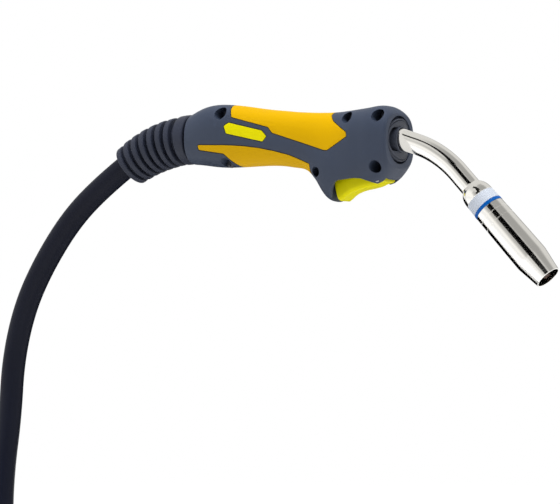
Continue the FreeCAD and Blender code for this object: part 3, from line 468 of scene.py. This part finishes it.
def coil_points():
    """Four turns, two wide and two high. They change places by a quarter twist of the bundle."""
    middle_r = (COIL_OUTER_R + COIL_INNER_R) / 2
    middle_z = (LOW_LAYER_Z + HIGH_LAYER_Z) / 2
    slot_r = math.sqrt(2) * CABLE_R
    step = 360.0 / POINTS_PER_TURN
    widen = 1 / math.cos(math.radians(step / 2))
    points = []
    for i in range(POINTS_PER_TURN * COIL_TURNS):
        turn = i // POINTS_PER_TURN
        angle = TWIST_END + step * (i % POINTS_PER_TURN)
        place = angle - 360 if angle >= TWIST_START + 360 else None
        share = 0.0
        if place is not None:
            share = (place - TWIST_START) / (TWIST_END - TWIST_START)
            share = share * share * (3 - 2 * share)
        lift = slot_r * math.sin(math.radians(45 + 45 * (1 - abs(2 * share - 1)))) - CABLE_R
        slot = math.radians(-45 - 90 * turn - 90 * share)
        r = middle_r + slot_r * math.cos(slot)
        z = middle_z + slot_r * math.sin(slot) + lift
        if turn == COIL_TURNS - 1:
            r = COIL_OUTER_R + 2 * CABLE_R * share
            z = HIGH_LAYER_Z + lift
        round_angle = math.radians(angle)
        points.append((COIL_CENTRE.x + r * widen * math.cos(round_angle),
                       COIL_CENTRE.y + r * widen * math.sin(round_angle), z))
    return points


def make_cable():
    """The whole cable as one curve: the hanging stretch, the coil and the end at the connector."""
    tail = [(COIL_CENTRE.x + 4, PLUG_Y, HIGH_LAYER_Z), (PLUG_START - 28, PLUG_Y, HIGH_LAYER_Z),
            (PLUG_START, PLUG_Y, HIGH_LAYER_Z)]
    points = CABLE_ROUTE + coil_points() + tail
    curve = bpy.data.curves.new("power_cable_line", "CURVE")
    curve.dimensions = "3D"
    spline = curve.splines.new("NURBS")
    spline.points.add(len(points) - 1)
    for control, point in zip(spline.points, points):
        control.co = (*(c * MM for c in point), 1.0)
    spline.order_u = 3
    spline.use_endpoint_u = True
    spline.resolution_u = 8
    curve.bevel_depth = CABLE_R * MM
    curve.bevel_resolution = 10
    curve.use_fill_caps = True
    cable = new_object("coaxial_cable", curve, "torch", [jacket])
    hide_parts("power_cable", "cable_coil", "cable_tail")
    return cable


cable = make_cable()


# ---- coil strap ----------------------------------------------------------------------------------
STRAP_ANGLE = math.radians(75)
STRAP_HALF_WIDTH = 8.5
STRAP_THICKNESS = 1.3
STRAP_SLACK = 0.5
STRAP_FLOOR_GAP = 0.2
CORNER_STEPS = 8


def coil_strap():
    """Woven strap round the four turns."""
    middle_r = (COIL_OUTER_R + COIL_INNER_R) / 2
    outward = Vector((math.cos(STRAP_ANGLE), math.sin(STRAP_ANGLE), 0))
    along = Vector((-math.sin(STRAP_ANGLE), math.cos(STRAP_ANGLE), 0))
    up = Vector((0, 0, 1))
    middle = COIL_CENTRE + outward * middle_r
    corner = CABLE_R + 0.4
    reach = 2 * CABLE_R + STRAP_SLACK - corner
    top = 4 * CABLE_R + STRAP_SLACK - corner
    bottom = corner + 0.3
    loop = []
    for cx, cz, start in ((reach, top, 0), (-reach, top, 90), (-reach, bottom, 180), (reach, bottom, 270)):
        for k in range(CORNER_STEPS + 1):
            a = math.radians(start + 90 * k / CORNER_STEPS)
            loop.append((cx + corner * math.cos(a), cz + corner * math.sin(a), math.cos(a), math.sin(a)))
    across = [-1.0, -0.93, -0.6, -0.2, 0.2, 0.6, 0.93, 1.0]
    verts = []
    faces = []
    count = len(loop)
    for x, z, nx, nz in loop:
        for layer in (0.0, 1.0):
            for w in across:
                rise = STRAP_THICKNESS * layer * (0.7 if abs(w) == 1.0 else 1.0)
                height = FLOOR_Z + max(z + nz * rise, STRAP_FLOOR_GAP)
                point = middle + outward * (x + nx * rise) + up * height
                verts.append(point + along * (w * STRAP_HALF_WIDTH))
    columns = len(across)
    for i in range(count):
        a = i * 2 * columns
        b = ((i + 1) % count) * 2 * columns
        for c in range(columns - 1):
            faces.append((a + columns + c, a + columns + c + 1, b + columns + c + 1, b + columns + c))
            faces.append((a + c + 1, a + c, b + c, b + c + 1))
        faces.append((a, a + columns, b + columns, b))
        faces.append((a + columns - 1, b + columns - 1, b + 2 * columns - 1, a + 2 * columns - 1))
    strap = new_object("coil_strap", mesh_from("coil_strap", verts, faces, sharp=60), "torch",
                       [strap_weave])
    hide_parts("coil_tie")
    return strap


strap = coil_strap()


# ---- neck and nozzle -----------------------------------------------------------------------------
def neck():
    """Bent tube with a rounded shoulder and a spigot that the sleeve and the ring sit on."""
    frame_at, total = neck_frames()
    start = NECK_END_S - total
    steps = 120
    path = [start + (SHOULDER_S - start) * i / steps for i in range(steps + 1)]
    shoulder = [(-19.6, 7.25), (-19.1, 7.5), (-18.5, 7.95), (-17.7, 8.55), (-16.8, 9.1), (-15.7, 9.6),
                (-14.3, 10.05), (-12.7, 10.38), (-11.0, 10.55), (-9.5, 10.58), (SLEEVE_S, 10.4)]
    spigot = [(SLEEVE_S, NECK_R + 0.02), (NECK_END_S, NECK_R), (NECK_END_S, NECK_BORE_R)]
    outline = [(s, NECK_R) for s in path] + shoulder + spigot
    outline += [(s, NECK_BORE_R) for s in reversed(path)]
    mesh = lathe("bent_neck", outline, frame_at, 128, sharp=50)
    piece = new_object("bent_neck", mesh, "torch", [nickel])
    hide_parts("swan_neck")


def sleeve():
    """Pale insulating sleeve between the shoulder and the ring."""
    profile = rounded([(SLEEVE_S, NECK_R), (SLEEVE_S, 10.5, 0.2), (RING_S, 10.8, 0.25), (RING_S, NECK_R)])
    mesh = lathe("sleeve", profile, on_nozzle, 128)
    piece = new_object("sleeve", mesh, "torch", [pale_sleeve])
    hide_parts("insulating_sleeve")


def ring():
    """Blue ring that the nozzle stops against."""
    profile = rounded([(RING_S, 7.3), (RING_S, 11.0, 0.3), (NOZZLE_START, 11.0, 0.3), (NOZZLE_START, 7.3)])
    mesh = lathe("seal_ring", profile, on_nozzle, 128)
    piece = new_object("seal_ring", mesh, "torch", [blue_plastic])
    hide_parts("blue_ring")


def nozzle():
    """Gas nozzle: two grooves, a slow belly, a taper to the mouth, and a bore painted near black with no
    reflection, soot and painted shade.
    """
    outside = [(NOZZLE_START, 8.25), (NOZZLE_START, 10.85, 0.25), (6.3, 10.95, 0.08), (6.42, 10.72, 0.05),
               (6.78, 10.72, 0.05), (6.9, 10.96, 0.08), (12.6, 11.07, 0.08), (12.72, 10.84, 0.05),
               (13.08, 10.84, 0.05), (13.2, 11.08, 0.08), (30.0, 11.35), (TAPER_S, 11.5, 14.0),
               (NOZZLE_END, 9.0, 0.3)]
    inside = [(NOZZLE_END, 8.3, 0.15), (NOZZLE_END - 6.0, 8.3, 0.5), (TAPER_S, 9.9, 3.0), (16.0, 9.9),
              (14.0, 8.25)]
    outline = rounded(outside + inside)
    # faces inside the mouth take the second material, soot with painted shade
    first_inner = max(i for i, (s, r) in enumerate(outline) if s > NOZZLE_END - 0.2)
    slots = [0 if i <= first_inner else 1 for i in range(len(outline))]
    mesh = lathe("nozzle", outline, on_nozzle, 160, slots, sharp=50)
    piece = new_object("nozzle", mesh, "gas_nozzle", [nozzle_nickel, bore_soot_and_shade])
    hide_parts("gas_nozzle")


neck()
sleeve()
ring()
nozzle()


# ---- cable boot ----------------------------------------------------------------------------------
def boot():
    """Spigot in the handle, cuff, then ribs with deep gaps between them. The cable fills its end."""
    end = BOOT_ARC_R * BOOT_TURN
    first, last = BOOT_CUFF
    profile = [(-2.4, BOOT_BORE_R), (-2.4, 13.0), (first, 13.0, 0.3), (first, BOOT_CUFF_R - 0.1, 1.3),
               ((first + last) / 2, BOOT_CUFF_R, 20.0), (last, BOOT_CUFF_R - 0.15, 1.1)]
    for i, radius in enumerate(BOOT_RIBS):
        middle = BOOT_FIRST_RIB + BOOT_RIB_PITCH * i
        half = BOOT_RIB_WIDTH / 2
        core = BOOT_CORE_R + 0.9 - 0.1 * i
        gap_start = last if i == 0 else middle - BOOT_RIB_PITCH + half
        profile += [(gap_start + 0.1, core, 0.5), (middle - half - 0.1, core, 0.5),
                    (middle - half, radius, 0.9), (middle + half, radius - 0.1, 0.9)]
    profile += [(end, BOOT_BORE_R)]
    mesh = lathe("ribbed_boot", rounded(profile, 5), on_boot, 144, sharp=50)
    piece = new_object("ribbed_boot", mesh, "torch", [boot_rubber])
    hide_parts("cable_boot")


boot()


# ---- neck seat ring ------------------------------------------------------------------------------
SEAT_BACK_X = 86.0
SEAT_CENTRE_Z = -3.0
SEAT_Y_R = 18.4            # half width and half height of the plate
SEAT_Z_R = 15.5
SEAT_INSET = 0.75          # the plate ends this far inside that oval
FRONT_X = 92.2             # the plate's face bulges to here, on this radius across its width
FRONT_BOW_R = 46.0
DISH = (15.6, 8.0)         # half width and half height of the recess, with round corners
DISH_CORNER = 7.5
DISH_X = 87.4
DISH_Z = -2.6
COLLAR_R = 8.9
COLLAR_X = 92.7
# groove and ridge round the plate: distance in from its edge, depth under its face
SEAT_RIM = [(0.0, 1.0), (0.12, 0.5), (0.4, 0.28), (0.75, 0.4), (1.05, 0.95), (1.25, 1.1), (1.5, 0.95),
            (1.75, 0.4), (2.05, 0.2), (2.4, 0.22), (2.8, 0.45), (3.2, 0.5)]
SEAT_RIM_WIDTH = 3.75      # the recess keeps at least this far from the edge
SEAT_BORE_BACK = (7.5, 7.65, -0.4)         # half width, half height and middle height of the bore
SEAT_BORE_FRONT = (7.5, 7.85, -2.4)
SEAT_BORE_MOUTH = (7.75, 8.1, -2.52)


def reach_oval(c, s, half_y, half_z, centre_z):
    """How far an oval is from the dish's centre in a direction."""
    z0 = DISH_Z - centre_z
    a = (c / half_y) ** 2 + (s / half_z) ** 2
    b = s * z0 / half_z ** 2
    return (-b + math.sqrt(b * b - a * ((z0 / half_z) ** 2 - 1))) / a


def reach_dish(c, s):
    """How far the edge of the recess is from its centre in a direction."""
    flat_y = DISH[0] - DISH_CORNER
    flat_z = DISH[1] - DISH_CORNER
    low, high = 0.0, 30.0
    for _ in range(40):        # each step halves the span that the edge is in
        middle = (low + high) / 2
        over_y = max(abs(middle * c) - flat_y, 0.0)
        over_z = max(abs(middle * s) - flat_z, 0.0)
        if math.hypot(over_y, over_z) < DISH_CORNER:
            low = middle
        else:
            high = middle
    return low


def bowed(y, depth):
    """X of a point that lies a depth under the plate's bowed face."""
    return FRONT_X - FRONT_BOW_R + math.sqrt(FRONT_BOW_R ** 2 - y * y) - depth


def seat_ring():
    """Rubber plate in the head's face: groove and ridge, a recess across it, a collar round the neck."""
    segments = 288
    rings = []
    for k in range(segments):
        c = math.cos(2 * math.pi * k / segments)
        s = math.sin(2 * math.pi * k / segments)
        edge = reach_oval(c, s, SEAT_Y_R - SEAT_INSET, SEAT_Z_R - SEAT_INSET, SEAT_CENTRE_Z)
        dish = reach_dish(c, s)
        room = min(max((dish - COLLAR_R) / 0.6, 0.0), 1.0)
        rim = min(max(dish, COLLAR_R + 0.08), edge - SEAT_RIM_WIDTH)
        # distance from the dish's centre, and either a fixed X or a depth under the bowed face
        outline = [(edge, SEAT_BACK_X, None)]
        outline += [(edge - inset, None, depth) for inset, depth in SEAT_RIM]
        outline += [(rim + 0.5, None, 0.5), (rim + 0.15, None, 0.65), (rim, None, 0.65 + 0.5 * room)]
        outline += [(r, room * DISH_X + (1 - room) * bowed(r * c, 0.7), None)
                    for r in (rim - 0.05, COLLAR_R + 0.02)]
        outline += [(COLLAR_R, COLLAR_X - 0.5, None), (COLLAR_R - 0.14, COLLAR_X - 0.15, None),
                    (COLLAR_R - 0.45, COLLAR_X, None)]
        column = []
        for reach, x, depth in outline:
            y = reach * c
            column.append((bowed(y, depth) if x is None else x, y, DISH_Z + reach * s))
        bore = ((COLLAR_X, SEAT_BORE_MOUTH), (COLLAR_X - 0.4, SEAT_BORE_FRONT), (SEAT_BACK_X, SEAT_BORE_BACK))
        for x, (half_y, half_z, middle_z) in bore:
            column.append((x, half_y * c, middle_z + half_z * s))
        rings.append(column)
    count = len(rings[0])
    verts = [point for column in rings for point in column]
    faces = []
    for k in range(segments):
        n = (k + 1) % segments
        for i in range(count):
            j = (i + 1) % count
            faces.append((k * count + i, k * count + j, n * count + j, n * count + i))
    mesh = mesh_from("neck_seat", verts, faces, sharp=40)
    piece = new_object("neck_seat", mesh, "torch", [seat_rubber])
    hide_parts("neck_seat_ring")


seat_ring()


# ---- trigger -------------------------------------------------------------------------------------
TRIGGER_HALF_WIDTH = 8.8
TRIGGER_WALL = 1.8
TRIGGER_ROUND = 3.6        # rounding along the finger side
TRIGGER_ROUND_STEPS = 10
TRIGGER_CHAMFER = 0.4
# x, underside, top of the side walls, floor between the walls
TRIGGER_STATIONS = [
    (43.6, -31.0, -25.0, -25.0), (44.6, -35.6, -25.0, -25.0), (45.5, -39.7, -25.0, -25.0),
    (46.0, -42.0, -25.0, -25.0), (46.7, -43.4, -25.0, -25.0), (48.0, -44.1, -25.0, -25.0),
    (48.5, -44.1, -25.0, -25.0), (48.55, -44.1, -25.0, -33.6), (50.4, -42.9, -25.0, -33.6),
    (52.6, -41.0, -25.0, -33.6), (55.6, -39.1, -25.0, -33.6), (60.0, -37.4, -25.0, -33.2),
    (63.8, -36.5, -26.3, -32.7), (63.85, -36.5, -26.3, -20.5), (68.15, -35.8, -27.9, -20.5),
    (68.2, -35.8, -27.9, -32.0), (72.0, -35.0, -29.3, -31.4), (72.05, -35.0, -29.3, -29.3),
    (74.0, -34.4, -29.9, -29.9), (76.0, -33.6, -29.4, -29.4), (78.0, -32.8, -27.7, -27.7),
    (80.0, -32.3, -27.6, -27.6), (81.6, -32.0, -27.8, -27.8), (82.4, -31.2, -28.6, -28.6),
]


def trigger_ring(x, bottom, top, floor):
    """Section across the trigger: rounded finger side, side walls, and the floor between them."""
    w = TRIGGER_HALF_WIDTH
    inner = w - TRIGGER_WALL
    r = min(TRIGGER_ROUND, (top - bottom) * 0.6)
    right = []
    for i in range(TRIGGER_ROUND_STEPS + 1):
        angle = 0.5 * math.pi * i / TRIGGER_ROUND_STEPS
        right.append((w - r + r * math.sin(angle), bottom + r - r * math.cos(angle)))
    right += [(w, (bottom + r + top) / 2), (w, top - TRIGGER_CHAMFER), (w - TRIGGER_CHAMFER, top),
              (inner, top), (inner - 0.01, floor)]
    left = [(-y, z) for y, z in reversed(right)]
    return [(x, y, z) for y, z in right + left]


def trigger():
    """Finger trigger: deep at the back and thin at the front, hollow over its spring, with a switch lug."""
    rings = [trigger_ring(*station) for station in TRIGGER_STATIONS]
    count = len(rings[0])
    verts = [point for ring_points in rings for point in ring_points]
    faces = [tuple(range(count)), tuple(reversed(range(len(verts) - count, len(verts))))]
    for i in range(len(rings) - 1):
        for k in range(count):
            n = (k + 1) % count
            faces.append((i * count + k, (i + 1) * count + k, (i + 1) * count + n, i * count + n))
    mesh = mesh_from("finger_trigger", verts, faces, sharp=45)
    piece = new_object("finger_trigger", mesh, "trigger", [trigger_plastic])
    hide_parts("trigger")


trigger()


# ---- materials on the CAD nodes ------------------------------------------------------------------
LOOKS = {
    shell_plastic: ["handle_shell_left", "handle_shell_right"],
    amber_rubber: ["top_grip_left", "top_grip_right", "lower_grip_left", "lower_grip_right"],
    lime_plastic: ["badge_left", "badge_right"],
    dark_steel: ["shell_screws"],
    zinc_steel: ["trigger_pivot_pin", "trigger_spring", "wire_liner", "nozzle_spring", "connector_screws"],
    black_plastic: ["microswitch_body", "connector_shell_left", "connector_shell_right", "connector_nut",
                    "connector_o_ring"],
    red_insulation: ["microswitch_plunger", "control_wires"],
    white_ceramic: ["gas_diffuser", "neck_liner_tube"],
    brass: ["tip_holder", "neck_block", "neck_lock_nut", "connector_body", "connector_plug_pin",
            "control_pin_left", "control_pin_right"],
    copper: ["cable_crimp", "cable_core"],
    used_copper: ["contact_tip"],
    jacket: ["cable_in_handle", "connector_cable_end"],
    boot_rubber: ["connector_boot"],
}
for material, names in LOOKS.items():
    for name in names:
        data = NODES[name].data
        data.materials.clear()
        data.materials.append(material)


# ---- studio --------------------------------------------------------------------------------------
def floor():
    """Pale paper that takes soft shadows near the object and turns plain white further out."""
    verts = []
    faces = []
    count = 96
    for radius in (1500.0, 6000.0, 40000.0):
        for k in range(count):
            angle = 2 * math.pi * k / count
            verts.append((radius * math.cos(angle), radius * math.sin(angle), FLOOR_Z))
    faces.append(list(range(count)))
    for ring_start in (0, count):
        for k in range(count):
            n = (k + 1) % count
            faces.append((ring_start + k, ring_start + n, ring_start + count + n, ring_start + count + k))
    mesh = bpy.data.meshes.new("floor")
    mesh.from_pydata([Vector(v) * MM for v in verts], [], faces)
    piece = bpy.data.objects.new("floor", mesh)
    SCENE.collection.objects.link(piece)
    m = Nodes("floor_paper")
    distance = m.add("ShaderNodeVectorMath", operation="LENGTH")
    m.link(m.coords, "Object", distance, "Vector")

    def by_distance(near, far):
        node = m.add("ShaderNodeMapRange", interpolation_type="SMOOTHSTEP")
        for key, value in (("From Min", 0.25), ("From Max", 2.2), ("To Min", near), ("To Max", far)):
            node.inputs[key].default_value = value
        m.link(distance, "Value", node, "Value")
        return node

    m.link(by_distance(0.60, 1.0), "Result", m.shader, "Emission Strength")
    paper = by_distance(0.5, 0.0)
    grey = m.add("ShaderNodeCombineColor")
    for channel in ("Red", "Green", "Blue"):
        m.link(paper, "Result", grey, channel)
    m.link(grey, "Color", m.shader, "Base Color")
    m.shader.inputs["Roughness"].default_value = 0.9
    m.shader.inputs["Specular IOR Level"].default_value = 0.0
    m.shader.inputs["Emission Color"].default_value = (1, 1, 1, 1)
    mesh.materials.append(m.material)


def softbox(name, place, aim, width, height, power):
    """Area light that reflections and the camera don't see. Place, aim and size in metres."""
    data = bpy.data.lights.new(name, "AREA")
    data.shape = "RECTANGLE"
    data.size = width
    data.size_y = height
    data.energy = power
    light = bpy.data.objects.new(name, data)
    SCENE.collection.objects.link(light)
    light.location = place
    light.rotation_mode = "QUATERNION"
    light.rotation_quaternion = (Vector(aim) - Vector(place)).to_track_quat("-Z", "Y")
    light.visible_camera = False
    light.visible_glossy = False


def direction(azimuth, elevation):
    """Unit vector: azimuth in degrees from the torch's left side (-Y) round towards its nozzle (+X)."""
    a = math.radians(azimuth)
    e = math.radians(elevation)
    return Vector((math.sin(a) * math.cos(e), -math.cos(a) * math.cos(e), math.sin(e)))


def reflection_card(name, verts, faces, glow):
    """A card that only shows in reflections: black, or glowing with a strength."""
    mesh = bpy.data.meshes.new(name)
    mesh.from_pydata(verts, [], faces)
    piece = bpy.data.objects.new(name, mesh)
    SCENE.collection.objects.link(piece)
    m = Nodes(name)
    m.shader.inputs["Base Color"].default_value = (0.0, 0.0, 0.0, 1)
    m.shader.inputs["Specular IOR Level"].default_value = 0.0
    m.shader.inputs["Roughness"].default_value = 1.0
    m.shader.inputs["Emission Color"].default_value = (1.0, 0.99, 0.97, 1)
    m.shader.inputs["Emission Strength"].default_value = glow
    mesh.materials.append(m.material)
    piece.visible_camera = False
    piece.visible_diffuse = False
    piece.visible_transmission = False
    piece.visible_shadow = False


def black_flag(name, centre, distance, near_edge, far_edge):
    """A black strip for reflections. Its edges are (azimuth, elevation) seen from a centre."""
    verts = [Vector(centre) * MM + direction(*corner) * distance for corner in near_edge + far_edge]
    n = len(near_edge)
    faces = [(i, i + 1, n + i + 1, n + i) for i in range(n - 1)]
    reflection_card(name, verts, faces, 0.0)


def white_collar(x, hole, hole_z, outside, outside_z, strength):
    """A white ring in front of the head, so that the neck doesn't mirror the dark head."""
    verts = []
    faces = []
    count = 96
    for half_y, half_z, z in ((hole[0], hole[1], hole_z), (outside[0], outside[1], outside_z)):
        for k in range(count):
            angle = 2 * math.pi * k / count
            verts.append(Vector((x, half_y * math.cos(angle), z + half_z * math.sin(angle))) * MM)
    for k in range(count):
        n = (k + 1) % count
        faces.append((k, n, count + n, count + k))
    reflection_card("white_collar", verts, faces, strength)


# soft patches in what the metal reflects: direction, the cosines where each starts and is full, strength
PATCHES = [
    (direction(75, 60), 0.80, 0.96, -0.34),
    (direction(-50, -2), 0.70, 0.95, 0.36),
    (direction(190, 12), 0.93, 0.99, -0.30),
    (direction(-12, 20), 0.95, 0.995, -0.22),
]


def studio_world():
    """White for the camera, even light for the surfaces, and soft light and dark patches for reflections."""
    world = bpy.data.worlds.new("studio")
    SCENE.world = world
    world.use_nodes = True
    tree = world.node_tree
    tree.nodes.clear()
    new = tree.nodes.new
    link = tree.links.new
    coords = new("ShaderNodeTexCoord")
    strength = new("ShaderNodeValue").outputs[0]
    strength.default_value = 0.74
    for towards, start, full, amount in PATCHES:
        dot = new("ShaderNodeVectorMath")
        dot.operation = "DOT_PRODUCT"
        dot.inputs[1].default_value = towards
        link(coords.outputs["Generated"], dot.inputs[0])
        patch = new("ShaderNodeMapRange")
        patch.interpolation_type = "SMOOTHSTEP"
        patch.inputs["From Min"].default_value = start
        patch.inputs["From Max"].default_value = full
        patch.inputs["To Min"].default_value = 0.0
        patch.inputs["To Max"].default_value = amount
        link(dot.outputs["Value"], patch.inputs["Value"])
        add = new("ShaderNodeMath")
        add.operation = "ADD"
        link(strength, add.inputs[0])
        link(patch.outputs["Result"], add.inputs[1])
        strength = add.outputs[0]
    reflected = new("ShaderNodeBackground")
    link(strength, reflected.inputs["Strength"])
    reflected.inputs["Color"].default_value = (1.0, 0.99, 0.96, 1)
    seen = new("ShaderNodeBackground")
    seen.inputs["Strength"].default_value = 1.0
    seen.inputs["Color"].default_value = (1, 1, 1, 1)
    even = new("ShaderNodeBackground")
    even.inputs["Strength"].default_value = 0.30
    even.inputs["Color"].default_value = (1, 1, 1, 1)
    paths = new("ShaderNodeLightPath")
    glossy = new("ShaderNodeMixShader")
    link(paths.outputs["Is Glossy Ray"], glossy.inputs["Fac"])
    link(even.outputs["Background"], glossy.inputs[1])
    link(reflected.outputs["Background"], glossy.inputs[2])
    camera = new("ShaderNodeMixShader")
    link(paths.outputs["Is Camera Ray"], camera.inputs["Fac"])
    link(glossy.outputs["Shader"], camera.inputs[1])
    link(seen.outputs["Background"], camera.inputs[2])
    output = new("ShaderNodeOutputWorld")
    link(camera.outputs["Shader"], output.inputs["Surface"])


floor()
studio_world()
black_flag("nozzle_flag", (150, 0, -30), 2.0,
           [(15, 6), (8.5, 13.5), (2.5, 19), (-4.5, 25), (-7, 27.5)],
           [(44, 27), (37, 34.5), (31.5, 41), (24, 48.5), (21, 51)])
black_flag("neck_flag", (150, 0, -30), 2.05,
           [(-3, 32), (2, 40), (-1, 46), (-9, 53), (-22, 51), (-38, 51)],
           [(22, 50), (28, 52), (33, 55), (14, 66), (-14, 66), (-44, 62)])
white_collar(93.4, (8.0, 8.6), -2.8, (20.5, 17.0), -4.0, 0.8)
black_flag("low_flag", (150, 0, -50), 0.42,
           [(-96, -12), (-120, 2), (-165, 2)],
           [(-91, -42), (-120, -44), (-165, -40)])
softbox("top_softbox", (0.1, -0.3, 2.2), (0, 0, 0), 2.6, 1.6, 84)
softbox("left_softbox", (-2.4, -1.6, 1.2), (0, 0, -0.05), 1.4, 1.8, 22)
softbox("right_softbox", (2.6, -0.9, 0.6), (0.1, 0, -0.05), 0.9, 1.8, 12)
SCENE.view_settings.view_transform = "Standard"
SCENE.view_settings.look = "None"
